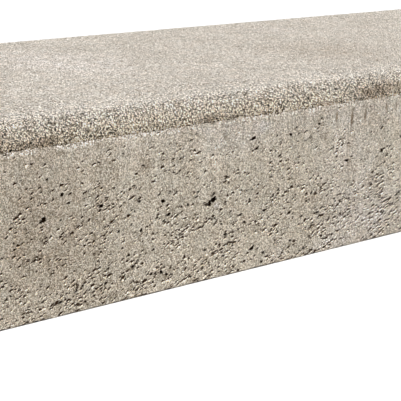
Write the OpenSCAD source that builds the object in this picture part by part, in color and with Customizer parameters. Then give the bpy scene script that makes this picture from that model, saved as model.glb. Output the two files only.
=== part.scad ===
// Precast concrete block step, pressed in one piece.
// X runs along the length, Y from the riser face to the back, Z up.
// The origin is the middle of the underside.

/* [Block] */
// Length of the step, from end to end
step_l = 1000; // [400:50:1500]
// Depth of the step, from the riser face to the back
step_d = 350; // [250:10:450]
// Height of the step, from the underside to the tread
step_h = 150; // [120:5:200]

/* [Nosing] */
// Radius of the rounded front edge of the tread
nosing_r = 20; // [8:1:50]
// Width of the flat ledge that the rim of the press head leaves at the foot of the rounding
ledge_w = 2.5; // [0.5:0.5:6]

/* [Arrises] */
// Size of the small 45 degree break on every other edge
arris = 1.5; // [0.5:0.5:5]

/* [Hidden] */
$fn = 96;

// Where the rounding runs out into the tread, measured from the riser face
nosing_back = ledge_w + nosing_r;
// Height of the foot of the rounding, which is the height of the ledge
nosing_foot = step_h - nosing_r;

// A rectangle from the origin whose four corners are broken at 45 degrees.
module broken_rect(w, h) {
    polygon([
        [arris, 0], [w - arris, 0], [w, arris], [w, h - arris],
        [w - arris, h], [arris, h], [0, h - arris], [0, arris]
    ]);
}

// What the press head leaves of the front top corner: the part in front of the
// rounding stops at the ledge, and the rounding is a quarter of a circle above it.
module nosing_outline() {
    translate([nosing_back, 0]) square([step_d - nosing_back, step_h]);
    square([nosing_back, nosing_foot]);
    translate([nosing_back, nosing_foot]) circle(r = nosing_r);
}

// The section that runs the whole length, with the riser face at the left.
module section() {
    intersection() {
        broken_rect(step_d, step_h);
        nosing_outline();
    }
}

// The block: its section, cut to length by the outlines of its plan and of its riser,
// which break the edges at the two ends.
module step_block() {
    color("#b5a997")
    translate([-step_l / 2, -step_d / 2, 0])
    intersection() {
        rotate([90, 0, 90]) linear_extrude(height = step_l) section();
        linear_extrude(height = step_h) broken_rect(step_l, step_d);
        translate([0, step_d, 0])
        rotate([90, 0, 0]) linear_extrude(height = step_d) broken_rect(step_l, step_h);
    }
}

step_block();
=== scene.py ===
import math
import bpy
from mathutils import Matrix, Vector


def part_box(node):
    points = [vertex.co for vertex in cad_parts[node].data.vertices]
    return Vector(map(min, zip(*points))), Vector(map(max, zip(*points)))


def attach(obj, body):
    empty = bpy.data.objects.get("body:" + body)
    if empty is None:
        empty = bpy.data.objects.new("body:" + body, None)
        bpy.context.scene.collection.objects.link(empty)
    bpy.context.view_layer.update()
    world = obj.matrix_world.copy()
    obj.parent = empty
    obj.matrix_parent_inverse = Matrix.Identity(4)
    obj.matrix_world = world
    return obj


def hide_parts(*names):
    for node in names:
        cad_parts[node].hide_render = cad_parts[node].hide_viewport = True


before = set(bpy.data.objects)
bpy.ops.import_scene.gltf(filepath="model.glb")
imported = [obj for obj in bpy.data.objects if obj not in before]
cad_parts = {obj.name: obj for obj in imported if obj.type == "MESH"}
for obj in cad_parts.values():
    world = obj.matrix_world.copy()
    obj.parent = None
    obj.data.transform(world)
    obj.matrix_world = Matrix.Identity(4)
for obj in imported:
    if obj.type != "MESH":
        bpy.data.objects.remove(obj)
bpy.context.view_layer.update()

from types import SimpleNamespace

import bpy
from bpy.props import FloatProperty, FloatVectorProperty, IntProperty, PointerProperty, StringProperty
from mathutils import Matrix, Vector

bl_info = {
    "name": "Pressed concrete step",
    "version": (1, 0, 0),
    "blender": (4, 5, 0),
    "location": "3D View > Sidebar > Concrete step",
    "description": "Builds a precast concrete block step with a rounded, grainy nosing, and a plain studio",
    "category": "Object",
}

MM = 0.001
BLOCK_LOW, BLOCK_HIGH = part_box("step_block")
BLOCK_SIZE = BLOCK_HIGH - BLOCK_LOW

# Kinds of node that the trees below use often
MATH = "ShaderNodeMath"
VECTOR = "ShaderNodeVectorMath"
RANGE = "ShaderNodeMapRange"
MIX = "ShaderNodeMix"
XYZ = "ShaderNodeCombineXYZ"
PARTS = "ShaderNodeSeparateXYZ"
NOISE = "ShaderNodeTexNoise"
CELLS = "ShaderNodeTexVoronoi"
MOVE = "GeometryNodeSetPosition"
STORE = "GeometryNodeStoreNamedAttribute"
READ = "GeometryNodeInputNamedAttribute"
CHANCE = "FunctionNodeRandomValue"

SMOOTH = {"interpolation_type": "SMOOTHSTEP"}

# Widths of what the concrete's surface shows, in millimetres. The sand is 0.2 to 2 mm, of which only the
# coarser grains would show, so all of it is drawn 0.75 mm wide.
SAND_WIDE = 0.75
CRUMB_WIDE = 1.6
DENT_WIDE = 3.4
PORE_APART = 3.8
CRACK_WAVE = 5.0
STREAK_WIDE = 9.0
MOTTLE_WIDE = 14.0
PORE_PATCH_WIDE = 28.0
LIP_PIECE_LONG = 30.0
CLOUD_WIDE = 70.0

# The camera looks along the riser from its left, a little downwards. Its turns are in degrees.
CAMERA_PLACE = Vector((-1.02, BLOCK_LOW.y - 0.81, 0.344))
CAMERA_YAW, CAMERA_PITCH, CAMERA_ROLL = 43.82, 13.79, 1.78
CAMERA_LENS = 129.8

# Blow holes on the riser that stand out from the rest, in millimetres:
# distance from the middle of the step, height above the underside, width, height, lean in degrees.
# Pockets that lie together make one hole of a more broken shape.
LARGE_HOLES = (
    (-232, 64, 7.4, 6.0, 20),
    (-227, 67, 9.6, 7.0, 12),
    (-228, 72, 4.2, 6.6, 75),
    (-248, 58, 5.0, 3.6, 10),
    (-276, 62, 6.5, 4.0, 15),
    (-267, 60, 4.6, 3.0, 5),
    (-312, 26, 5.0, 3.2, 40),
    (-308, 30, 4.4, 2.8, 55),
    (-305, 34, 3.6, 2.4, 30),
    (-317, 36, 5.0, 3.4, 20),
    (-283, 16, 5.0, 4.4, -30),
    (-277, 13, 4.6, 3.2, -15),
    (-271, 12, 4.4, 2.6, 10),
    (-368, 17, 5.0, 3.4, 30),
    (-362, 20, 4.4, 2.8, 40),
    (-383, 11, 5.5, 3.2, 20),
    (-399, 77, 7.0, 6.0, 40),
    (-376, 86, 5.6, 3.2, 5),
    (-304, 105, 5.0, 2.6, 0),
    (-345, 79, 5.4, 4.0, 10),
    (-307, 77, 5.0, 3.6, -20),
    (-337, 29, 4.4, 3.4, 20),
    (-245, 76, 4.0, 2.6, 15),
    (-196, 70, 4.0, 2.2, -10),
    (-190, 69, 4.0, 2.4, 5),
    (-183, 69, 3.4, 2.2, 0),
    (-177, 70, 2.8, 1.8, 20),
    (-218, 45, 3.6, 2.6, -25),
    (-226, 51, 3.4, 2.4, -25),
    (-236, 26, 4.0, 2.8, 0),
    (-213, 35, 5.0, 3.4, -10),
    (-191, 42, 6.0, 2.2, 5),
    (-174, 17, 4.6, 2.6, 15),
    (-129, 110, 3.6, 2.4, 0),
    (-121, 103, 2.6, 2.6, 10),
    (-114, 106, 3.0, 3.0, 20),
    (-105, 109, 2.6, 2.4, 10),
    (-84, 93, 3.6, 2.6, 10),
    (-150, 65, 4.0, 2.6, 10),
    (-130, 57, 6.0, 2.0, 12),
    (-110, 75, 3.2, 1.8, 6),
    (-105, 76, 3.4, 2.2, 15),
    (-101, 37, 6.0, 3.4, 15),
    (-95, 41, 5.0, 2.6, 30),
    (-72, 43, 3.6, 2.4, 0),
    (-59, 47, 4.5, 2.8, 18),
    (-53, 49, 3.6, 2.4, 10),
    (-134, 17, 5.0, 3.2, 0),
    (-110, 17, 4.4, 3.0, 5),
    (-103, 18, 4.0, 2.4, 20),
    (-122, 6, 4.0, 2.6, 14),
    (-117, 8, 3.2, 2.2, 30),
    (-167, 12, 5.0, 3.6, 0),
)

# Patches of another tone, in millimetres: distance from the middle, distance behind the
# riser face, height, half their length, depth and height, and how strong they are.
# Lime bloom and skimmed-up cement paste are pale.
PALE_PATCHES = (
    (0, 0, 120, 620, 14, 22, 0.35),
    (-228, 0, 126, 60, 12, 7, 0.4),
    (-178, 0, 121, 16, 12, 8, 0.9),
    (-224, 0, 62, 7, 14, 4, 1.0),
    (-396, 0, 73, 6, 14, 4, 1.0),
    (-110, 0, 127, 14, 12, 5, 0.5),
    (-60, 0, 75, 70, 14, 90, 0.5),
    (-205, 0, 112, 60, 14, 24, 0.4),
    (-150, 0, 10, 20, 14, 16, 0.5),
    (-20, 0, 15, 110, 14, 60, 0.8),
    (-90, 0, 6, 50, 14, 10, 0.45),
    (-215, 215, 150, 90, 120, 10, 0.8),
    (130, 280, 150, 45, 45, 10, 0.5),
    (260, 0, 60, 30, 14, 80, 0.4),
    (270, 0, 15, 220, 14, 45, 0.5),
    (395, 0, 124, 70, 12, 8, 0.6),
)
# Iron in the sand leaves brown ones, and the narrow ones are drips from the nosing.
BROWN_PATCHES = (
    (-410, 4, 134, 46, 12, 7, 0.9),
    (-230, 4, 133, 36, 12, 6, 0.8),
    (-20, 4, 137, 75, 12, 9, 1.0),
    (-100, 4, 130, 24, 12, 6, 0.6),
    (-400, 0, 70, 110, 30, 110, 0.5),
    (-303, 0, 105, 14, 12, 8, 0.5),
    (-278, 0, 15, 20, 12, 10, 0.4),
    (120, 4, 134, 50, 12, 7, 0.8),
    (330, 4, 134, 35, 12, 6, 0.8),
    (60, 140, 150, 110, 110, 10, 0.35),
    (-82, 0, 120, 2.5, 8, 10, 1.6),
    (-62, 0, 116, 2.6, 8, 13, 1.8),
    (-65, 0, 93, 2.2, 8, 16, 0.7),
    (-44, 0, 116, 2.5, 8, 11, 1.8),
    (-15, 0, 121, 2.4, 8, 8, 1.1),
    (-1, 0, 122, 2.4, 8, 8, 1.4),
)


def linear(code):
    """Turn an sRGB hex colour such as #b5a997 into linear red, green, blue and alpha."""
    parts = [int(code[i:i + 2], 16) / 255 for i in (1, 3, 5)]
    return tuple(c / 12.92 if c <= 0.04045 else ((c + 0.055) / 1.055) ** 2.4 for c in parts) + (1.0,)


def feed(tree, socket, item):
    """Link a socket to a node or to one of its outputs, or give it a value; None leaves it as it is."""
    if isinstance(item, bpy.types.Node):
        item = next(s for s in item.outputs if s.enabled)
    if isinstance(item, bpy.types.NodeSocket):
        tree.links.new(item, socket)
    elif item is not None:
        socket.default_value = item


def put(tree, kind, *feeds, **settings):
    """Add one node to a tree, with its settings. Feeds go to its sockets in order, or by name in a dict."""
    node = tree.nodes.new(kind)
    for name, value in settings.items():
        setattr(node, name, value)
    open_sockets = [socket for socket in node.inputs if socket.enabled]
    pairs = []
    for n, given in enumerate(feeds):
        if isinstance(given, dict):
            pairs += [(next(s for s in open_sockets if s.name == name), f) for name, f in given.items()]
        else:
            pairs.append((open_sockets[n], given))
    for socket, given in pairs:
        for item in given if isinstance(given, list) else [given]:
            feed(tree, socket, item)
    return node


def new_tree(name, **inputs):
    """Start a Geometry Nodes tree with the named inputs; returns the tree and its inputs' sockets."""
    tree = bpy.data.node_groups.new(name, "GeometryNodeTree")
    tree.interface.new_socket("Geometry", in_out="OUTPUT", socket_type="NodeSocketGeometry")
    kinds = {float: "Float", int: "Int", bpy.types.Material: "Material", type(None): "Geometry"}
    for label, value in inputs.items():
        kind = kinds[type(value)]
        socket = tree.interface.new_socket(
            label.replace("_", " "), in_out="INPUT", socket_type="NodeSocket" + kind
        )
        if value is not None:
            socket.default_value = value
    start = put(tree, "NodeGroupInput")
    return tree, {label: start.outputs[label.replace("_", " ")] for label in inputs}


def corner_switches(t, index, corners):
    """Two switches that turn the number of an outline's corner into its place and its third value."""
    place_of = put(t, "GeometryNodeIndexSwitch", data_type="VECTOR")
    value_of = put(t, "GeometryNodeIndexSwitch", data_type="FLOAT")
    for switch in (place_of, value_of):
        feed(t, switch.inputs[0], index)
        while len(switch.index_switch_items) < len(corners):
            switch.index_switch_items.new()
    for n, (y, z, value) in enumerate(corners):
        feed(t, place_of.inputs[n + 1], put(t, XYZ, None, y, z))
        feed(t, value_of.inputs[n + 1], value)
    return place_of, value_of


def straight_bar(t, start, end, step, outline):
    """A closed bar: an outline swept along a straight line, in even steps."""
    line = put(t, "GeometryNodeCurvePrimitiveLine", {"Start": start, "End": end})
    line = put(t, "GeometryNodeResampleCurve", line, {"Length": step}, mode="LENGTH")
    return put(t, "GeometryNodeCurveToMesh", {"Curve": line, "Profile Curve": outline, "Fill Caps": True})


def rough_box_tree():
    """A closed box of nearly square faces, which are uneven inwards only, as pressed faces are."""
    t, i = new_tree("Rough box", Length=1.0, Depth=0.35, Height=0.15, Face_step=0.012, Unevenness=0.0003)
    sides = [i[name] for name in ("Length", "Depth", "Height")]
    size = put(t, XYZ, *sides)
    counts = [put(t, MATH, side, i["Face_step"], operation="DIVIDE") for side in sides]
    box = put(t, "GeometryNodeMeshCube", size, *counts)
    half = put(t, MATH, i["Height"], 0.5, operation="MULTIPLY")
    lifted = put(t, MOVE, box, {"Offset": put(t, XYZ, None, None, half)})
    # Swells about 50 mm apart
    swell = put(t, NOISE, {"Scale": 1 / (50 * MM), "Detail": 2.0})
    outward = put(t, MATH, swell, i["Unevenness"], operation="MULTIPLY")
    outward = put(t, MATH, outward, -1.0, operation="MULTIPLY")
    normal = put(t, "GeometryNodeInputNormal").outputs["Normal"]
    push = put(t, VECTOR, normal, outward, operation="SCALE")
    put(t, "NodeGroupOutput", put(t, MOVE, lifted, {"Offset": push}))
    return t


def rim_outline(t, i, centre_y, centre_z):
    """The section of the press head's rim, as a closed outline that lies flat.

    It runs up the quarter-round of the nosing, over the crest, down in front of the riser and back along
    the ledge, where it leaves a ragged burr standing, and ends in the crack under the nosing. Each point
    stores its true place, as the distance back from the riser face and the height, and how much grain
    and burr it gets.
    """
    quarter = math.pi / 2
    arc_length = put(t, MATH, i["Nosing_radius"], quarter, operation="MULTIPLY")
    rows = put(t, MATH, put(t, MATH, arc_length, i["Grain_step"], operation="DIVIDE"), operation="CEIL")
    index = put(t, "GeometryNodeInputIndex")
    row = put(t, MATH, index, 1.0, operation="ADD")
    turned = put(t, MATH, put(t, MATH, row, rows, operation="DIVIDE"), quarter, operation="MULTIPLY")
    cosine = put(t, MATH, turned, operation="COSINE")
    sine = put(t, MATH, turned, operation="SINE")
    arc_y = put(t, MATH, cosine, i["Nosing_radius"], operation="MULTIPLY")
    arc_y = put(t, MATH, centre_y, arc_y, operation="SUBTRACT")
    arc_z = put(t, MATH, sine, i["Nosing_radius"], operation="MULTIPLY")
    arc_z = put(t, MATH, centre_z, arc_z, operation="ADD")
    over = put(t, MATH, i["Height"], i["Margin"], operation="ADD")
    before = put(t, MATH, i["Margin"], -1.0, operation="MULTIPLY")
    crack_end = put(t, MATH, i["Ledge_width"], i["Crack_depth"], operation="ADD")
    burr_front = 0.15 * MM
    burr_top = 1.2 * MM
    burr_back = 2.0 * MM
    # After the quarter-round, each with its share of the burr's height: over the crest, in front of the
    # riser, the burr's front, its top and its foot, and the crack's end
    corners = (
        (centre_y, over, 0.0),
        (before, over, 0.0),
        (before, centre_z, 1.0),
        (burr_front, centre_z, 1.0),
        (burr_top, centre_z, 0.8),
        (burr_back, centre_z, 0.0),
        (crack_end, centre_z, 0.0),
    )
    past_arc = put(t, MATH, index, rows, operation="SUBTRACT")
    place_of, burr_of = corner_switches(t, past_arc, corners)
    on_arc = put(t, MATH, past_arc, -0.5, operation="LESS_THAN")
    arc = put(t, XYZ, None, arc_y, arc_z)
    place = put(t, "GeometryNodeSwitch", on_arc, place_of, arc, input_type="VECTOR")
    # The grain dies out towards the crest
    fade = put(t, RANGE, cosine, 0.0, 0.35, 0.3, 1.0)
    grain = put(t, MATH, on_arc, fade, operation="MULTIPLY")
    burr_share = put(t, "GeometryNodeSwitch", on_arc, burr_of, 0.0, input_type="FLOAT")
    outline = put(t, "GeometryNodeMeshLine", put(t, MATH, rows, float(len(corners)), operation="ADD"))
    for name, kind, value in (
        ("section", "FLOAT_VECTOR", place), ("grain", "FLOAT", grain), ("burr", "FLOAT", burr_share),
    ):
        outline = put(t, STORE, outline, {"Name": name, "Value": value}, data_type=kind)
    # Laid in the profile's own plane, so that the sweep has a true outline for its caps
    back, up = put(t, PARTS, put(t, READ, "section", data_type="FLOAT_VECTOR")).outputs[1:]
    flat = put(t, VECTOR, put(t, XYZ, back, up), -1.0, operation="SCALE")
    outline = put(t, "GeometryNodeMeshToCurve", put(t, MOVE, outline, {"Position": flat}))
    return put(t, "GeometryNodeSetSplineCyclic", outline, {"Cyclic": True})


def press_head_tree():
    """The rim of the press head, as the solid that is taken off the block."""
    t, i = new_tree(
        "Press head rim", Length=1.0, Depth=0.35, Height=0.15, Nosing_radius=0.02, Ledge_width=0.0025,
        Grain_step=0.0015, Grain_height=0.00018, Burr_height=0.0015, Crack_depth=0.0004, Margin=0.005,
    )
    centre_y = put(t, MATH, i["Ledge_width"], i["Nosing_radius"], operation="ADD")
    centre_z = put(t, MATH, i["Height"], i["Nosing_radius"], operation="SUBTRACT")
    outline = rim_outline(t, i, centre_y, centre_z)
    reach = put(t, MATH, i["Length"], 0.5, i["Margin"], operation="MULTIPLY_ADD")
    minus = put(t, MATH, reach, -1.0, operation="MULTIPLY")
    bar = straight_bar(t, put(t, XYZ, minus), put(t, XYZ, reach), i["Grain_step"], outline)
    # Stood up on its stored places, at the front of the block
    back, up = put(t, PARTS, put(t, READ, "section", data_type="FLOAT_VECTOR")).outputs[1:]
    along = put(t, PARTS, put(t, "GeometryNodeInputPosition")).outputs[0]
    front = put(t, MATH, i["Depth"], -0.5, operation="MULTIPLY")
    across = put(t, MATH, back, front, operation="ADD")
    bar = put(t, MOVE, bar, {"Position": put(t, XYZ, along, across, up)})
    # Grit about 2 mm wide stands out of the nosing, and the paste between is pushed in
    grit = put(t, CELLS, {"Scale": 1 / (2.0 * MM)}, feature="F1")
    crumbs = put(t, NOISE, {"Scale": 1 / (2.4 * MM), "Detail": 3.0, "Roughness": 0.6})
    sunk = put(t, MATH, crumbs, 0.8, put(t, MATH, grit, 0.6, operation="MULTIPLY"), operation="MULTIPLY_ADD")
    sunk = put(t, MATH, put(t, MATH, sunk, 0.35, operation="SUBTRACT"), 0.0, operation="MAXIMUM")
    depth = put(t, MATH, sunk, put(t, READ, "grain", data_type="FLOAT"), operation="MULTIPLY")
    depth = put(t, MATH, depth, i["Grain_height"], operation="MULTIPLY")
    inward_y = put(t, MATH, centre_y, back, operation="SUBTRACT")
    inward_z = put(t, MATH, centre_z, up, operation="SUBTRACT")
    inward = put(t, VECTOR, put(t, XYZ, None, inward_y, inward_z), operation="NORMALIZE")
    push = put(t, VECTOR, inward, depth, operation="SCALE")
    # The burr rises and breaks off along the ledge
    ragged = put(t, NOISE, {"Scale": 1 / (6 * MM), "Detail": 4.0, "Roughness": 0.8})
    ragged = put(t, RANGE, ragged, 0.4, 0.66, 0.0, 1.0)
    rise = put(t, MATH, ragged, put(t, READ, "burr", data_type="FLOAT"), operation="MULTIPLY")
    rise = put(t, MATH, rise, i["Burr_height"], operation="MULTIPLY")
    push = put(t, VECTOR, push, put(t, XYZ, None, None, rise), operation="ADD")
    put(t, "NodeGroupOutput", put(t, MOVE, bar, {"Offset": push}))
    return t


def pocket_tree():
    """One air pocket, as a closed solid: two rough lobes that ran into each other.

    Its larger lobe has a radius of 1, and whoever uses it gives it its size.
    """
    t, i = new_tree("Air pocket", Fineness=2, Seed=1)
    lobes = []
    # Finer pockets have finer crags
    crag_scale = put(t, MATH, i["Fineness"], 0.7, 0.4, operation="MULTIPLY_ADD")
    crag_reach = 2.4
    for n, radius in enumerate((1.0, 0.7)):
        ball = put(t, "GeometryNodeMeshIcoSphere", radius, i["Fineness"]).outputs["Mesh"]
        own = put(t, MATH, i["Seed"], 2.0, float(n), operation="MULTIPLY_ADD")
        # The first lobe stays in the middle, and the second lies up to one side of it
        aside = put(
            t, CHANCE, (0.6, -0.2, 0.1), (1.2, 0.2, 0.7), {"ID": own, "Seed": 9}, data_type="FLOAT_VECTOR"
        )
        lobe = put(t, MOVE, ball, {"Offset": put(t, VECTOR, aside, float(n), operation="SCALE")})
        # Crumbs break its wall, each lobe's in its own way
        away = put(t, XYZ, None, None, put(t, MATH, own, 7.0, operation="MULTIPLY"))
        spot = put(t, VECTOR, put(t, "GeometryNodeInputPosition"), away, operation="ADD")
        crags = put(t, NOISE, spot, {"Scale": crag_scale, "Detail": 2.0, "Roughness": 0.7})
        swing = put(t, VECTOR, crags.outputs["Color"], (0.5, 0.5, 0.5), operation="SUBTRACT")
        swing = put(t, VECTOR, swing, (1.0, 0.5, 1.0), operation="MULTIPLY")
        swing = put(t, VECTOR, swing, crag_reach, operation="SCALE")
        lobe = put(t, MOVE, lobe, {"Offset": swing})
        lobes.append(put(t, "GeometryNodeGeometryToInstance", lobe))
    pocket = put(t, "GeometryNodeMeshBoolean", lobes, operation="UNION", solver="MANIFOLD")
    # It runs inwards and up, so that its sill slopes outwards and its upper edge hangs over
    turn = {"Scale": (1.0, 1.4, 1.0), "Rotation": (math.radians(-35), 0, 0)}
    put(t, "NodeGroupOutput", put(t, "GeometryNodeTransform", pocket, turn))
    return t


def hole_share(t, i, spot):
    """The share of the most holes per area that a spot gets, from 0 to 1."""
    along, across, up = put(t, PARTS, spot).outputs
    facing = put(t, PARTS, put(t, "GeometryNodeInputNormal").outputs["Normal"]).outputs
    # None on the tread, few on the underside, and fewer on the back, the ends and the top of the riser
    fewer_below = 0.93
    fewer_behind = 0.55
    not_tread = put(t, MATH, facing[2], 0.5, operation="LESS_THAN")
    underside = put(t, MATH, facing[2], -0.5, operation="LESS_THAN")
    underside = put(t, MATH, underside, fewer_below, operation="MULTIPLY")
    share = put(t, MATH, not_tread, underside, operation="SUBTRACT")
    not_front = put(t, MATH, facing[1], -0.5, operation="GREATER_THAN")
    not_front = put(t, MATH, not_front, -fewer_behind, 1.0, operation="MULTIPLY_ADD")
    share = put(t, MATH, share, not_front, operation="MULTIPLY")
    shoulder = put(t, MATH, i["Height"], i["Nosing_radius"], operation="SUBTRACT")
    nearly_up = put(t, MATH, shoulder, 0.65, operation="MULTIPLY")
    share = put(t, MATH, share, put(t, RANGE, up, nearly_up, shoulder, 1.0, 0.15), operation="MULTIPLY")
    # They gather in patches about 35 mm wide, and in short rows within them
    patches = put(t, RANGE, put(t, NOISE, {"Scale": 1 / (35 * MM), "Detail": 1.0}), 0.35, 0.65, 0.3, 1.0)
    tilt = put(t, MATH, along, across, operation="ADD")
    tilt = put(t, MATH, tilt, -0.4, up, operation="MULTIPLY_ADD")
    rows = put(t, XYZ, along, across, put(t, MATH, tilt, 4.0, operation="MULTIPLY"))
    rows = put(t, RANGE, put(t, NOISE, rows, {"Scale": 1 / (18 * MM), "Detail": 1.0}), 0.42, 0.58, 0.15, 1.0)
    return put(t, MATH, put(t, MATH, share, patches, operation="MULTIPLY"), rows, operation="MULTIPLY")


def hole_tree():
    """Solids of the air pockets that the pressing leaves in the formed faces, to be taken off the block.

    They stay instances, so that pockets that overlap are cut off one by one.
    """
    t, i = new_tree(
        "Blow holes", Surface=None, Placed=None, Height=0.15, Nosing_radius=0.02, Spacing=0.0035,
        Most_per_area=14000.0, Smallest=0.0006, Largest=0.0019, Seed=3,
    )
    pocket = pocket_tree()
    spot = put(t, "GeometryNodeInputPosition")
    points = put(
        t, "GeometryNodeDistributePointsOnFaces", i["Surface"],
        {
            "Distance Min": i["Spacing"], "Density Max": i["Most_per_area"],
            "Density Factor": hole_share(t, i, spot), "Seed": i["Seed"],
        },
        distribute_method="POISSON",
    )
    points = put(
        t, STORE, points, {"Name": "face way", "Value": points.outputs["Normal"]}, data_type="FLOAT_VECTOR"
    )
    # None within 6 mm of a placed hole
    near = put(t, "GeometryNodeProximity", i["Placed"], {"Sample Position": spot}, target_element="POINTS")
    points = put(
        t, "GeometryNodeDeleteGeometry", points,
        put(t, MATH, near.outputs["Distance"], 6.0 * MM, operation="LESS_THAN"), domain="POINT",
    )
    # Many small ones and a few large ones, wider than tall, and leaning up to one side
    chance = put(t, CHANCE, 0.0, 1.0, {"Seed": 5}, data_type="FLOAT")
    chance = put(t, MATH, chance, 3.0, operation="POWER")
    radius = put(t, RANGE, chance, 0.0, 1.0, i["Smallest"], i["Largest"])
    shape = put(t, CHANCE, (0.9, 0.9, 0.6), (1.7, 1.4, 1.0), {"Seed": 7}, data_type="FLOAT_VECTOR")
    lean = put(t, CHANCE, -0.1, 0.8, {"Seed": 6}, data_type="FLOAT")
    face_way = put(t, READ, "face way", data_type="FLOAT_VECTOR")
    kinds = 7
    kind = put(t, CHANCE, {"Min": 0, "Max": kinds - 1, "Seed": 8}, data_type="INT")
    size = put(t, VECTOR, shape, radius, operation="SCALE")
    # Holes under 1.1 mm in radius are coarser solids
    is_small = put(t, MATH, radius, 1.1 * MM, operation="LESS_THAN")
    is_large = put(t, MATH, 1.0, is_small, operation="SUBTRACT")
    # The placed holes carry their own size and lean, and take the kinds in turn
    placed_lean = put(t, READ, "lean", data_type="FLOAT")
    placed_size = put(t, READ, "size", data_type="FLOAT_VECTOR")
    scattered = {"Instance Index": kind, "Scale": size}
    holes = []
    for spots, fineness, seeds, way, angle, feeds in (
        (points, 1, range(kinds), face_way, lean, {"Selection": is_small, **scattered}),
        (points, 2, range(kinds), face_way, lean, {"Selection": is_large, **scattered}),
        (i["Placed"], 3, range(10, 14), (0, -1, 0), placed_lean, {"Scale": placed_size}),
    ):
        pockets = []
        for seed in seeds:
            one = put(t, "GeometryNodeGroup", {"Fineness": fineness, "Seed": seed}, node_tree=pocket)
            pockets.append(put(t, "GeometryNodeGeometryToInstance", one))
        turn = put(t, "FunctionNodeAlignRotationToVector", {"Vector": way}, axis="Y", pivot_axis="Z")
        leant = put(t, "FunctionNodeAxisAngleToRotation", (0, 1, 0), angle)
        turn = put(t, "FunctionNodeRotateRotation", turn, leant, rotation_space="LOCAL")
        pockets = put(t, "GeometryNodeJoinGeometry", pockets)
        feeds = {"Instance": pockets, "Pick Instance": True, "Rotation": turn, **feeds}
        holes.append(put(t, "GeometryNodeInstanceOnPoints", spots, feeds))
    put(t, "NodeGroupOutput", put(t, "GeometryNodeJoinGeometry", holes))
    return t


def arris_tree():
    """Ragged bars that break the sharp edges: three along the step and one round each end."""
    t, i = new_tree(
        "Broken arrises", Length=1.0, Depth=0.35, Height=0.15, Nosing_radius=0.02, Ledge_width=0.0025,
        Arris=0.0013, Chip=0.0035, Step=0.003, Margin=0.01,
    )
    front = put(t, MATH, i["Depth"], -0.5, operation="MULTIPLY")
    back = put(t, MATH, i["Depth"], 0.5, operation="MULTIPLY")
    half = put(t, MATH, i["Length"], 0.5, operation="MULTIPLY")
    reach = put(t, MATH, half, i["Margin"], operation="ADD")
    minus = put(t, MATH, reach, -1.0, operation="MULTIPLY")
    section = put(t, "GeometryNodeCurvePrimitiveCircle", {"Resolution": 4, "Radius": i["Arris"]})
    bars = []
    for y, z in ((front, 0.0), (back, 0.0), (back, i["Height"])):
        start, end = (put(t, XYZ, x, y, z) for x in (minus, reach))
        bars.append(straight_bar(t, start, end, i["Step"], section))
    # Round each end: the outline of the section, with the nosing's curve in it
    ledge = put(t, MATH, front, i["Ledge_width"], operation="ADD")
    shoulder = put(t, MATH, i["Height"], i["Nosing_radius"], operation="SUBTRACT")
    corners = (
        (front, 0.0, 0.0),
        (back, 0.0, 0.0),
        (back, i["Height"], 0.0),
        (ledge, i["Height"], i["Nosing_radius"]),
        (ledge, shoulder, 0.0),
        (front, shoulder, 0.0),
    )
    corner_of, radius_of = corner_switches(t, put(t, "GeometryNodeInputIndex"), corners)
    loop = put(t, MOVE, put(t, "GeometryNodeMeshLine", len(corners)), {"Position": corner_of})
    loop = put(t, "GeometryNodeSetSplineCyclic", put(t, "GeometryNodeMeshToCurve", loop), {"Cyclic": True})
    loop = put(t, "GeometryNodeFilletCurve", loop, {"Radius": radius_of, "Count": 12}, mode="POLY")
    loop = put(t, "GeometryNodeResampleCurve", loop, {"Length": i["Step"]}, mode="LENGTH")
    for way in (-1.0, 1.0):
        ring = put(t, "GeometryNodeCurveToMesh", {"Curve": loop, "Profile Curve": section})
        shift = put(t, XYZ, put(t, MATH, half, way, operation="MULTIPLY"))
        bars.append(put(t, MOVE, ring, {"Offset": shift}))
    # Crumbs and chips about 8 mm long
    crumble = put(t, NOISE, {"Scale": 1 / (8 * MM), "Detail": 3.0, "Roughness": 0.65})
    swing = put(t, VECTOR, crumble.outputs["Color"], (0.5, 0.5, 0.5), operation="SUBTRACT")
    swing = put(t, VECTOR, swing, i["Chip"], operation="SCALE")
    # Kept as separate instances, so that each bar is cut off by itself
    ragged = [put(t, "GeometryNodeGeometryToInstance", put(t, MOVE, bar, {"Offset": swing})) for bar in bars]
    put(t, "NodeGroupOutput", put(t, "GeometryNodeJoinGeometry", ragged))
    return t


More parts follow.
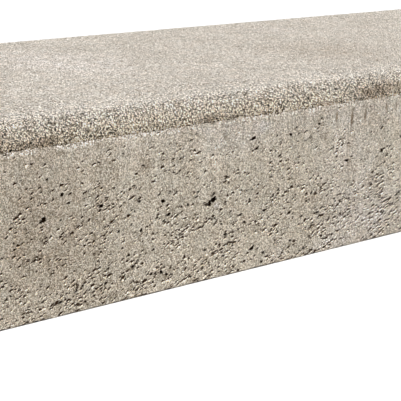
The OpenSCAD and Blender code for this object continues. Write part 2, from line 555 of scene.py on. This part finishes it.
def step_tree(material):
    """The whole step: the block, less the press head's rim, the broken arrises and the blow holes."""
    t, i = new_tree(
        "Pressed step", Placed_holes=None, Length=1.0, Depth=0.35, Height=0.15, Nosing_radius=0.02,
        Ledge_width=0.0025, Grain_height=0.00018, Burr_height=0.0015, Arris=0.0013, Holes_per_area=14000.0,
        Largest_hole=0.0019, Seed=3, Material=material,
    )
    sizes = {name: i[name] for name in ("Length", "Depth", "Height")}
    nose = {name.replace("_", " "): i[name] for name in ("Nosing_radius", "Ledge_width")}
    block = put(t, "GeometryNodeGroup", sizes, node_tree=rough_box_tree())
    feeds = {**sizes, **nose, "Grain height": i["Grain_height"], "Burr height": i["Burr_height"]}
    rim = put(t, "GeometryNodeGroup", feeds, node_tree=press_head_tree())
    feeds = {**sizes, **nose, "Arris": i["Arris"]}
    arrises = put(t, "GeometryNodeGroup", feeds, node_tree=arris_tree())
    feeds = {
        "Surface": block, "Placed": i["Placed_holes"], "Height": i["Height"],
        "Nosing radius": i["Nosing_radius"], "Most per area": i["Holes_per_area"],
        "Largest": i["Largest_hole"], "Seed": i["Seed"],
    }
    holes = put(t, "GeometryNodeGroup", feeds, node_tree=hole_tree())
    # One after another, because cutting all at once can stall the solver
    pressed = block
    for cutter in (rim, arrises, holes):
        pressed = put(
            t, "GeometryNodeMeshBoolean", {"Mesh 1": pressed, "Mesh 2": cutter},
            operation="DIFFERENCE", solver="MANIFOLD",
        )
    # Crumbs that the holes cut loose fall out: they are the islands of fewer than 500 points
    island = put(t, "GeometryNodeInputMeshIsland").outputs["Island Index"]
    counted = put(t, "GeometryNodeAccumulateField", 1.0, island, data_type="FLOAT", domain="POINT")
    loose = put(t, MATH, counted.outputs["Total"], 500.0, operation="LESS_THAN")
    pressed = put(t, "GeometryNodeDeleteGeometry", pressed, loose, domain="POINT")
    # Edges that bend by more than 38 degrees stay sharp
    bend = put(t, "GeometryNodeInputMeshEdgeAngle").outputs["Unsigned Angle"]
    soft = put(t, MATH, bend, math.radians(38), operation="LESS_THAN")
    smooth = put(t, "GeometryNodeSetShadeSmooth", pressed, {"Shade Smooth": True}, domain="FACE")
    smooth = put(t, "GeometryNodeSetShadeSmooth", smooth, {"Shade Smooth": soft}, domain="EDGE")
    real = put(t, "GeometryNodeRealizeInstances", smooth)
    put(t, "NodeGroupOutput", put(t, "GeometryNodeSetMaterial", real, {"Material": i["Material"]}))
    return t


def block_places(t, sizes):
    """Where a point lies on the block, and where its finishes meet, all in millimetres."""
    height = BLOCK_SIZE.z / MM
    place = put(t, VECTOR, put(t, "ShaderNodeTexCoord").outputs["Object"], 1 / MM, operation="SCALE")
    along, across, up = put(t, PARTS, place).outputs
    off_middle = put(t, MATH, along, operation="ABSOLUTE")
    return SimpleNamespace(
        place=place, along=along, across=across, up=up, height=height,
        shoulder=height - sizes.nosing_radius / MM,
        crest=(sizes.ledge_width + sizes.nosing_radius) / MM,
        front=put(t, MATH, across, BLOCK_LOW.y / MM, operation="SUBTRACT"),
        back=put(t, MATH, BLOCK_HIGH.y / MM, across, operation="SUBTRACT"),
        to_end=put(t, MATH, BLOCK_SIZE.x / 2 / MM, off_middle, operation="SUBTRACT"),
    )


def finish_masks(t, at):
    """Where each finish is: the tread that the press plate smooths, the grainy nosing, the formed faces."""
    rough_front = put(t, RANGE, at.front, at.crest + 50.0, at.crest - 8.0, **SMOOTH)
    on_top = put(t, RANGE, at.up, at.height - 2.0, at.height - 0.8, **SMOOTH)
    tread = put(t, RANGE, at.front, at.crest - 20.0, at.crest, **SMOOTH)
    tread = put(t, MATH, on_top, tread, operation="MULTIPLY")
    not_tread = put(t, MATH, 1.0, tread, operation="SUBTRACT")
    nose = put(t, RANGE, at.up, at.shoulder - 0.2, at.shoulder + 0.5, **SMOOTH)
    for limit in (
        put(t, RANGE, at.front, at.crest + 8.0, at.crest + 6.0),
        put(t, RANGE, at.front, 0.9, 1.6),
        put(t, RANGE, at.to_end, 0.4, 1.0),
        not_tread,
    ):
        nose = put(t, MATH, nose, limit, operation="MULTIPLY")
    formed = put(t, MATH, not_tread, nose, operation="SUBTRACT")
    return SimpleNamespace(rough_front=rough_front, tread=tread, nose=nose, formed=formed)


def surface_patterns(t, at):
    """Sand, crumbs of sand and paste, clouds, mottling and streaks, each as wide as it really is."""
    grains = put(t, CELLS, at.place, {"Scale": 1 / SAND_WIDE, "Detail": 0.0})
    grain_tone, grain_tint, _ = put(t, PARTS, grains.outputs["Color"]).outputs
    # Most grains are of a middling tone, and a few are pale
    grain_tone = put(t, MATH, grain_tone, 1.4, operation="POWER")
    grain_tone = put(t, MATH, grain_tone, 0.08, operation="ADD")
    crumbs = put(t, NOISE, at.place, {"Scale": 1 / CRUMB_WIDE, "Detail": 1.5, "Roughness": 0.6})
    cloud = put(t, NOISE, at.place, {"Scale": 1 / CLOUD_WIDE, "Detail": 3.0, "Roughness": 0.55})
    mottle = put(t, NOISE, at.place, {"Scale": 1 / MOTTLE_WIDE, "Detail": 3.0, "Roughness": 0.6})
    tint = put(t, PARTS, mottle.outputs["Color"]).outputs[1]
    # The mould drew the streaks up the formed faces as it was lifted off
    drawn = put(t, VECTOR, at.place, (1.0, 1.0, 0.05), operation="MULTIPLY")
    streak = put(t, NOISE, drawn, {"Scale": 1 / STREAK_WIDE, "Detail": 3.0, "Roughness": 0.65})
    streak = put(t, MATH, streak, 0.48, operation="MAXIMUM")
    return SimpleNamespace(
        grains=grains, grain_tone=grain_tone, grain_tint=grain_tint, crumbs=crumbs, cloud=cloud,
        mottle=mottle, tint=tint, streak=streak,
    )


def pore_masks(t, at, finish, pattern):
    """Open pores 2 to 4 mm wide in the formed faces, flattened, leaning up to one side and crumbled."""
    lean = put(t, MATH, at.along, at.across, operation="ADD")
    lean = put(t, MATH, lean, -0.3, at.up, operation="MULTIPLY_ADD")
    flat = put(t, XYZ, at.along, at.across, put(t, MATH, lean, 1.6, operation="MULTIPLY"))
    for shaker, reach in ((pattern.crumbs, 3.2), (pattern.mottle, 9.0)):
        shaken = put(t, VECTOR, shaker.outputs["Color"], (0.5, 0.5, 0.5), operation="SUBTRACT")
        shaken = put(t, VECTOR, shaken, reach, operation="SCALE")
        flat = put(t, VECTOR, flat, shaken, operation="ADD")
    pores = put(t, CELLS, flat, {"Scale": 1 / PORE_APART})
    chance = put(t, PARTS, pores.outputs["Color"]).outputs[0]
    # They crowd in patches, and towards the bottom
    crowd = put(t, NOISE, flat, {"Scale": 1 / PORE_PATCH_WIDE, "Detail": 2.0})
    crowd = put(t, RANGE, crowd, 0.38, 0.62, 0.15, 1.4)
    crowd_here = put(t, RANGE, at.up, 10.0, at.shoulder, 0.8, 0.05)
    crowd = put(t, MATH, crowd, crowd_here, operation="MULTIPLY")
    # Many small ones and a few large ones
    radius = put(t, MATH, put(t, RANGE, chance, 0.0, crowd, 1.0, 0.0), 1.8, operation="POWER")
    radius = put(t, MATH, radius, 0.42, 0.28, operation="MULTIPLY_ADD")
    there = put(t, MATH, chance, crowd, operation="LESS_THAN")
    radius = put(t, MATH, radius, there, operation="MULTIPLY")
    edge = put(t, MATH, radius, pores, operation="SUBTRACT")
    is_pore = put(t, MATH, radius, 0.01, operation="GREATER_THAN")
    is_pore = put(t, MATH, is_pore, finish.formed, operation="MULTIPLY")
    bowl = put(t, MATH, put(t, RANGE, edge, -0.15, 0.25), is_pore, operation="MULTIPLY")
    mouth = put(t, MATH, put(t, RANGE, edge, -0.02, 0.03), is_pore, operation="MULTIPLY")
    # Painted shade darkens the colour under each pore's upper edge, and a painted highlight makes the ring
    # below its middle, the sill, paler
    above = put(t, VECTOR, flat, pores.outputs["Position"], operation="SUBTRACT")
    above = put(t, PARTS, above).outputs[2]
    painted_pit_shade = put(t, MATH, mouth, put(t, RANGE, above, -1.2, -0.4, 0.0, 1.0), operation="MULTIPLY")
    # Painted highlight on the lower rim of each pore, where the key light would catch it
    painted_sill_highlight = put(t, MATH, put(t, RANGE, edge, -0.2, -0.05), is_pore, operation="MULTIPLY")
    painted_sill_highlight = put(t, MATH, painted_sill_highlight, put(t, RANGE, above, -0.5, -0.9), operation="MULTIPLY")
    # Dents that the crumbs leave between them
    torn = put(t, NOISE, at.place, {"Scale": 1 / DENT_WIDE, "Detail": 2.0, "Roughness": 0.6})
    dent = put(t, MATH, put(t, RANGE, torn, 0.5, 0.7), finish.formed, operation="MULTIPLY")
    return SimpleNamespace(bowl=bowl, painted_pit_shade=painted_pit_shade, painted_sill_highlight=painted_sill_highlight, dent=dent)


def lip_masks(t, at, finish, crumbs):
    """The pale, ragged lip of skimmed-up paste below the nosing, and the paste in the crack above it."""
    wander = put(t, NOISE, at.place, {"Scale": 1 / CRACK_WAVE, "Detail": 3.0, "Roughness": 0.7})
    wander = put(t, MATH, wander, 0.5, operation="SUBTRACT")
    wander = put(t, MATH, wander, 6.0, at.up, operation="MULTIPLY_ADD")
    crack = put(t, RANGE, wander, at.shoulder + 2.4, at.shoulder + 0.9, **SMOOTH)
    crack = put(t, MATH, finish.nose, crack, operation="MULTIPLY")
    lip = put(t, RANGE, wander, at.shoulder - 4.0, at.shoulder - 2.0, **SMOOTH)
    # It is only on the riser, and comes and goes along the block
    left = put(t, NOISE, at.place, {"Scale": 1 / LIP_PIECE_LONG, "Detail": 2.0, "Roughness": 0.6})
    left = put(t, RANGE, left, 0.4, 0.58, 0.1, 1.0)
    for limit in (finish.formed, put(t, RANGE, at.front, 6.0, 3.0), left):
        lip = put(t, MATH, lip, limit, operation="MULTIPLY")
    return SimpleNamespace(
        lip=lip,
        fleck=put(t, MATH, lip, put(t, RANGE, crumbs, 0.46, 0.54), operation="MULTIPLY"),
        scar=put(t, MATH, lip, put(t, RANGE, crumbs, 0.46, 0.38), operation="MULTIPLY"),
        smear=put(t, MATH, crack, put(t, RANGE, crumbs, 0.43, 0.51), operation="MULTIPLY"),
    )


def base_colour(t, at, finish, pattern, edge, colours):
    """Each finish's own colour, with the pale and brown patches and the flecks of paste on the lip."""
    rounded = put(t, RANGE, at.up, at.shoulder, at.height, **SMOOTH)
    foot, top = linear(colours.nosing_foot), linear(colours.nosing_top)
    nosing = put(t, MIX, rounded, foot, top, data_type="RGBA")
    base = put(t, MIX, finish.nose, linear(colours.formed), nosing, data_type="RGBA")
    worn = put(t, MATH, finish.rough_front, 0.45, operation="MULTIPLY")
    worn = put(t, MIX, worn, linear(colours.tread), top, data_type="RGBA")
    base = put(t, MIX, finish.tread, base, worn, data_type="RGBA")
    # The mottling breaks the patches up
    broken = put(t, RANGE, pattern.mottle, 0.35, 0.6, 0.45, 1.0)
    for patches, colour in ((PALE_PATCHES, colours.paste), (BROWN_PATCHES, colours.iron)):
        cover = 0.0
        for x, y, z, long, deep, tall, strength in patches:
            away = put(t, VECTOR, at.place, (x, BLOCK_LOW.y / MM + y, z), operation="SUBTRACT")
            away = put(t, VECTOR, away, (1 / long, 1 / deep, 1 / tall), operation="MULTIPLY")
            away = put(t, VECTOR, away, operation="LENGTH").outputs["Value"]
            one = put(t, RANGE, away, 1.0, 0.0, 0.0, strength, **SMOOTH)
            cover = put(t, MATH, cover, one, operation="ADD")
        cover = put(t, MATH, cover, broken, operation="MULTIPLY")
        cover = put(t, MATH, cover, 1.0, operation="MINIMUM")
        base = put(t, MIX, cover, base, linear(colour), data_type="RGBA")
    paste = put(t, MATH, edge.fleck, 0.75, operation="MULTIPLY")
    return put(t, MIX, paste, base, linear(colours.paste), data_type="RGBA")


def surface_tone(t, at, finish, pattern, pore, edge):
    """What the colour is multiplied by: sand, mottling, clouds, streaks, darker and paler details, painted
    shade between the nosing's grains and painted highlights on the pores' sills.
    """
    # The sand shows most at the foot of the nosing, and on the tread towards its front
    foot = put(t, RANGE, at.up, at.shoulder + 12.0, at.shoulder + 4.0, 0.0, 0.5)
    on_nose = put(t, MATH, foot, 1.5, operation="ADD")
    tread_front = put(t, MATH, finish.rough_front, finish.tread, operation="MULTIPLY")
    grainy = put(t, MATH, finish.nose, on_nose, 1.4, operation="MULTIPLY_ADD")
    grainy = put(t, MATH, finish.tread, 0.6, grainy, operation="MULTIPLY_ADD")
    grainy = put(t, MATH, tread_front, 0.7, grainy, operation="MULTIPLY_ADD")
    crumbly = put(t, MATH, finish.nose, -0.1, 0.15, operation="MULTIPLY_ADD")
    # The streaks show most near the top of the formed faces
    streaky = put(t, RANGE, at.up, 40.0, at.shoulder - 20.0, 0.15, 1.2)
    streaky = put(t, MATH, finish.formed, streaky, operation="MULTIPLY")
    tone = 1.0
    for varied, share in (
        (pattern.grain_tone, grainy), (pattern.mottle, 0.25), (pattern.cloud, 0.3),
        (pattern.streak, streaky), (pattern.crumbs, crumbly),
    ):
        centred = put(t, MATH, varied, 0.5, operation="SUBTRACT")
        tone = put(t, MATH, centred, share, tone, operation="MULTIPLY_ADD")
    # What is darker is browner, and what is paler is greyer
    tone = put(t, XYZ, *[put(t, MATH, tone, power, operation="POWER") for power in (1.0, 1.08, 1.23)])
    # Painted shade in the crevices between the nosing's grains
    painted_crevice_shade = put(t, RANGE, pattern.grains, 0.45, 0.85)
    painted_crevice_shade = put(t, MATH, painted_crevice_shade, finish.nose, operation="MULTIPLY")
    # Painted shade in the nosing's crevices and painted highlights on the pores' sills, with pale paste
    # smears and flecks and darker scars on the lip
    for detail, paler in (
        (painted_crevice_shade, -0.25), (edge.smear, 2.0), (pore.painted_sill_highlight, 1.6), (edge.fleck, 0.5), (edge.scar, -0.4),
    ):
        kept = put(t, MATH, detail, paler, 1.0, operation="MULTIPLY_ADD")
        tone = put(t, VECTOR, tone, kept, operation="SCALE")
    # Some sand and some mottling is redder, and some bluer
    for varied, swing in ((pattern.tint, (0.11, 0.0, -0.07)), (pattern.grain_tint, (0.05, 0.02, -0.05))):
        centred = put(t, MATH, varied, 0.5, operation="SUBTRACT")
        hue = put(t, VECTOR, centred, swing, (1, 1, 1), operation="MULTIPLY_ADD")
        tone = put(t, VECTOR, tone, hue, operation="MULTIPLY")
    return tone


def surface_relief(t, at, finish, pattern, pore, edge):
    """How far the surface stands out, in millimetres: sand, crumbs, and the hollows of pores and dents."""
    dome = put(t, MATH, 0.6, pattern.grains, operation="SUBTRACT")
    dome_on_tread = put(t, RANGE, finish.rough_front, 0.0, 1.0, -0.5, -0.2)
    dome_height = put(t, MATH, finish.nose, 0.9, 1.5, operation="MULTIPLY_ADD")
    dome_height = put(t, MATH, finish.tread, dome_on_tread, dome_height, operation="MULTIPLY_ADD")
    crumb_height = put(t, RANGE, at.up, 20.0, at.shoulder, 1.2, 0.8)
    crumb_height = put(t, MATH, finish.formed, crumb_height, operation="MULTIPLY")
    for mask, height in (
        (finish.nose, 0.1), (edge.lip, 1.5),
        (finish.tread, put(t, RANGE, finish.rough_front, 0.0, 1.0, 0.8, 0.9)),
    ):
        crumb_height = put(t, MATH, mask, height, crumb_height, operation="MULTIPLY_ADD")
    relief = put(t, MATH, dome, dome_height, operation="MULTIPLY")
    for shape, height in ((pattern.crumbs, crumb_height), (pore.bowl, -1.8), (pore.dent, -0.7)):
        relief = put(t, MATH, shape, height, relief, operation="MULTIPLY_ADD")
    return relief


def concrete_material(sizes, colours):
    """Earth-moist concrete, pressed in a steel mould and stripped at once: matt, sandy and full of holes."""
    material = bpy.data.materials.new("Pressed earth-moist concrete")
    material.use_nodes = True
    t = material.node_tree
    shader = t.nodes["Principled BSDF"]
    shader.inputs["Roughness"].default_value = 0.92
    shader.inputs["Specular IOR Level"].default_value = 0.15
    at = block_places(t, sizes)
    finish = finish_masks(t, at)
    pattern = surface_patterns(t, at)
    pore = pore_masks(t, at, finish, pattern)
    edge = lip_masks(t, at, finish, pattern.crumbs)
    base = base_colour(t, at, finish, pattern, edge, colours)
    tone = surface_tone(t, at, finish, pattern, pore, edge)
    colour = put(t, VECTOR, base, tone, operation="MULTIPLY")
    # Painted shade: the colour darkens deep in the real holes and cracks, and under the upper edges of the
    # drawn pores
    deep = put(t, MATH, at.front, at.back, operation="MINIMUM")
    for way_out in (at.to_end, at.up):
        deep = put(t, MATH, deep, way_out, operation="MINIMUM")
    deep = put(t, MATH, put(t, RANGE, deep, 0.3, 1.3), finish.formed, operation="MULTIPLY")
    painted_hole_shade = put(t, MATH, pore.painted_pit_shade, deep, operation="MAXIMUM")
    colour = put(t, MIX, painted_hole_shade, colour, linear(colours.hole_shade), data_type="RGBA")
    feed(t, shader.inputs["Base Color"], colour)
    relief = surface_relief(t, at, finish, pattern, pore, edge)
    bump = put(t, "ShaderNodeBump", {"Height": relief, "Distance": MM, "Strength": 1.0})
    feed(t, shader.inputs["Normal"], bump)
    return material


class StepSizes(bpy.types.PropertyGroup):
    """Sizes of the step's details; its length, depth and height are the frame's"""

    nosing_radius: FloatProperty(
        name="Nosing radius", description="Radius of the rounded front edge", default=20 * MM,
        unit="LENGTH",
    )
    ledge_width: FloatProperty(
        name="Ledge width", description="How far the nosing stands back from the riser face",
        default=2.5 * MM, unit="LENGTH",
    )
    grain_height: FloatProperty(
        name="Grain height", description="How far the grit stands out of the nosing", default=0.18 * MM,
        unit="LENGTH",
    )
    burr_height: FloatProperty(
        name="Burr height", description="How far the burr rises above the ledge", default=1.5 * MM,
        unit="LENGTH",
    )
    arris: FloatProperty(
        name="Broken arris", description="How much of the sharp edges is broken away", default=1.3 * MM,
        unit="LENGTH",
    )
    largest_hole: FloatProperty(
        name="Largest blow hole", description="Radius of the largest scattered blow hole", default=1.9 * MM,
        unit="LENGTH",
    )
    holes_per_area: FloatProperty(
        name="Blow holes", description="Most blow holes in a square metre", default=14000.0,
    )
    seed: IntProperty(name="Seed", description="Which scatter of blow holes is made", default=3)


class StepColours(bpy.types.PropertyGroup):
    """Colours of the concrete, and of the shade painted into its holes, as sRGB hex values"""

    formed: StringProperty(
        name="Formed faces", description="Colour of the riser, the back and the ends", default="#d5c9b6",
    )
    tread: StringProperty(name="Tread", description="Colour of the walking face", default="#cdc3b5")
    nosing_top: StringProperty(
        name="Nosing, top", description="Colour of the nosing at its crest", default="#dbcebb",
    )
    nosing_foot: StringProperty(
        name="Nosing, foot", description="Colour of the nosing above the ledge", default="#d6c5aa",
    )
    paste: StringProperty(
        name="Cement paste", description="Colour of pale paste and lime bloom", default="#e0d6cb",
    )
    # Painted shade: this dark colour goes deep in the holes and under the pores' upper edges
    hole_shade: StringProperty(
        name="Painted shade in holes", description="Colour of what lies in the holes", default="#36210c",
    )
    iron: StringProperty(name="Iron stain", description="Colour of the brown patches", default="#9d8a73")


class StudioSettings(bpy.types.PropertyGroup):
    """Strength, direction and softness of the studio's light, and the floor's colour"""

    key_strength: FloatProperty(name="Key light", description="Strength of the one lamp", default=6.0)
    key_way: FloatVectorProperty(
        name="Towards the key light", description="Direction from the step to the lamp",
        default=(-0.75, -0.15, 0.65), subtype="DIRECTION",
    )
    key_width: FloatProperty(
        name="Width of the key light", description="Angle that the lamp fills, seen from the step",
        default=math.radians(8), subtype="ANGLE",
    )
    air_strength: FloatProperty(
        name="Fill light", description="Strength of the light from all round", default=0.12,
    )
    floor: StringProperty(name="Floor", description="Colour of the floor", default="#eeeeee")


def add_floor(scene, colour):
    """Lay a plain floor that reaches so far that its edges never show."""
    reach = 12.0
    mesh = bpy.data.meshes.new("floor")
    corners = [(-reach, -reach, 0), (reach, -reach, 0), (reach, reach, 0), (-reach, reach, 0)]
    mesh.from_pydata(corners, [], [(0, 1, 2, 3)])
    floor = bpy.data.objects.new("floor", mesh)
    scene.collection.objects.link(floor)
    # Flat and even, without a shine
    paint = bpy.data.materials.new("Matt floor paint")
    paint.use_nodes = True
    coat = paint.node_tree.nodes["Principled BSDF"]
    coat.inputs["Base Color"].default_value = colour
    coat.inputs["Roughness"].default_value = 0.9
    mesh.materials.append(paint)


def add_camera(scene):
    """Set up the camera at its place, turned by its yaw, pitch and roll."""
    yaw, pitch, roll = (math.radians(a) for a in (CAMERA_YAW, CAMERA_PITCH, CAMERA_ROLL))
    ahead = Vector((math.sin(yaw) * math.cos(pitch), math.cos(yaw) * math.cos(pitch), -math.sin(pitch)))
    right = Vector((math.cos(yaw), -math.sin(yaw), 0))
    up = right.cross(ahead)
    turned_right = math.cos(roll) * right + math.sin(roll) * up
    turned_up = -math.sin(roll) * right + math.cos(roll) * up
    turned = Matrix((turned_right, turned_up, -ahead)).transposed().to_4x4()
    camera = bpy.data.objects.new("camera", bpy.data.cameras.new("camera"))
    camera.data.sensor_width = 36
    camera.data.lens = CAMERA_LENS
    camera.data.clip_start = 0.01
    scene.collection.objects.link(camera)
    camera.matrix_world = Matrix.Translation(CAMERA_PLACE) @ turned
    scene.camera = camera


class STEP_OT_block(bpy.types.Operator):
    """Build the pressed concrete step from its sizes"""

    bl_idname = "step.block"
    bl_label = "Concrete step"

    def execute(self, context):
        sizes = context.scene.step_sizes
        mesh = bpy.data.meshes.new("step")
        mesh.from_pydata([(x * MM, BLOCK_LOW.y, z * MM) for x, z, *_ in LARGE_HOLES], [], [])
        mesh.attributes.new("size", "FLOAT_VECTOR", "POINT")
        mesh.attributes.new("lean", "FLOAT", "POINT")
        # A pocket of size 1 is about 2.8 across, and one that is placed goes deeper than it is tall
        for n, (x, z, wide, tall, lean) in enumerate(LARGE_HOLES):
            mesh.attributes["size"].data[n].vector = Vector((wide * 0.36, tall * 0.5, tall * 0.36)) * MM
            mesh.attributes["lean"].data[n].value = math.radians(lean)
        step = bpy.data.objects.new("step", mesh)
        context.scene.collection.objects.link(step)
        material = concrete_material(sizes, context.scene.step_colours)
        tree = step_tree(material)
        modifier = step.modifiers.new("Pressed step", "NODES")
        modifier.node_group = tree
        values = {
            "Length": BLOCK_SIZE.x, "Depth": BLOCK_SIZE.y, "Height": BLOCK_SIZE.z, "Material": material,
            "Nosing radius": sizes.nosing_radius, "Ledge width": sizes.ledge_width,
            "Grain height": sizes.grain_height, "Burr height": sizes.burr_height, "Arris": sizes.arris,
            "Holes per area": sizes.holes_per_area, "Largest hole": sizes.largest_hole, "Seed": sizes.seed,
        }
        for item in tree.interface.items_tree:
            if item.in_out == "INPUT" and item.name in values:
                modifier[item.identifier] = values[item.name]
        evaluated = step.evaluated_get(context.evaluated_depsgraph_get())
        solid = bpy.data.meshes.new_from_object(evaluated)
        if not solid.polygons:
            raise RuntimeError("the step's tree made no faces")
        step.modifiers.remove(modifier)
        step.data = solid
        bpy.data.meshes.remove(mesh)
        solid.name = "step"
        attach(step, "root")
        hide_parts("step_block")
        return {"FINISHED"}


class STEP_OT_studio(bpy.types.Operator):
    """Build the floor, the light and the camera"""

    bl_idname = "step.studio"
    bl_label = "Studio"

    def execute(self, context):
        scene = context.scene
        settings = scene.step_studio
        scene.view_settings.view_transform = "Standard"
        world = bpy.data.worlds.new("Studio air")
        world.use_nodes = True
        air = world.node_tree.nodes["Background"]
        air.inputs["Color"].default_value = (1, 1, 1, 1)
        air.inputs["Strength"].default_value = settings.air_strength
        scene.world = world
        add_floor(scene, linear(settings.floor))
        light = bpy.data.lights.new("key", "SUN")
        light.energy = settings.key_strength
        light.angle = settings.key_width
        key = bpy.data.objects.new("key", light)
        scene.collection.objects.link(key)
        key.rotation_mode = "QUATERNION"
        key.rotation_quaternion = Vector(settings.key_way).to_track_quat("Z", "Y")
        add_camera(scene)
        return {"FINISHED"}


class STEP_PT_panel(bpy.types.Panel):
    """Sizes, colours and makers of the concrete step"""

    bl_idname = "STEP_PT_panel"
    bl_label = "Concrete step"
    bl_space_type = "VIEW_3D"
    bl_region_type = "UI"
    bl_category = "Concrete step"

    def draw(self, context):
        for operator in (STEP_OT_studio, STEP_OT_block):
            self.layout.operator(operator.bl_idname)
        for group in (context.scene.step_sizes, context.scene.step_colours, context.scene.step_studio):
            column = self.layout.column(align=True)
            for name in group.__annotations__:
                column.prop(group, name)


GROUPS = {"step_sizes": StepSizes, "step_colours": StepColours, "step_studio": StudioSettings}
CLASSES = (*GROUPS.values(), STEP_OT_studio, STEP_OT_block, STEP_PT_panel)


def register():
    """Tell Blender of the classes, and hang the settings on the scene."""
    for each in CLASSES:
        bpy.utils.register_class(each)
    for name, group in GROUPS.items():
        setattr(bpy.types.Scene, name, PointerProperty(type=group))


def unregister():
    """Undo what register does."""
    for name in GROUPS:
        delattr(bpy.types.Scene, name)
    for each in reversed(CLASSES):
        bpy.utils.unregister_class(each)


def main():
    """Build the stage and the step."""
    register()
    bpy.ops.step.studio()
    bpy.ops.step.block()


if __name__ == "__main__":
    main()
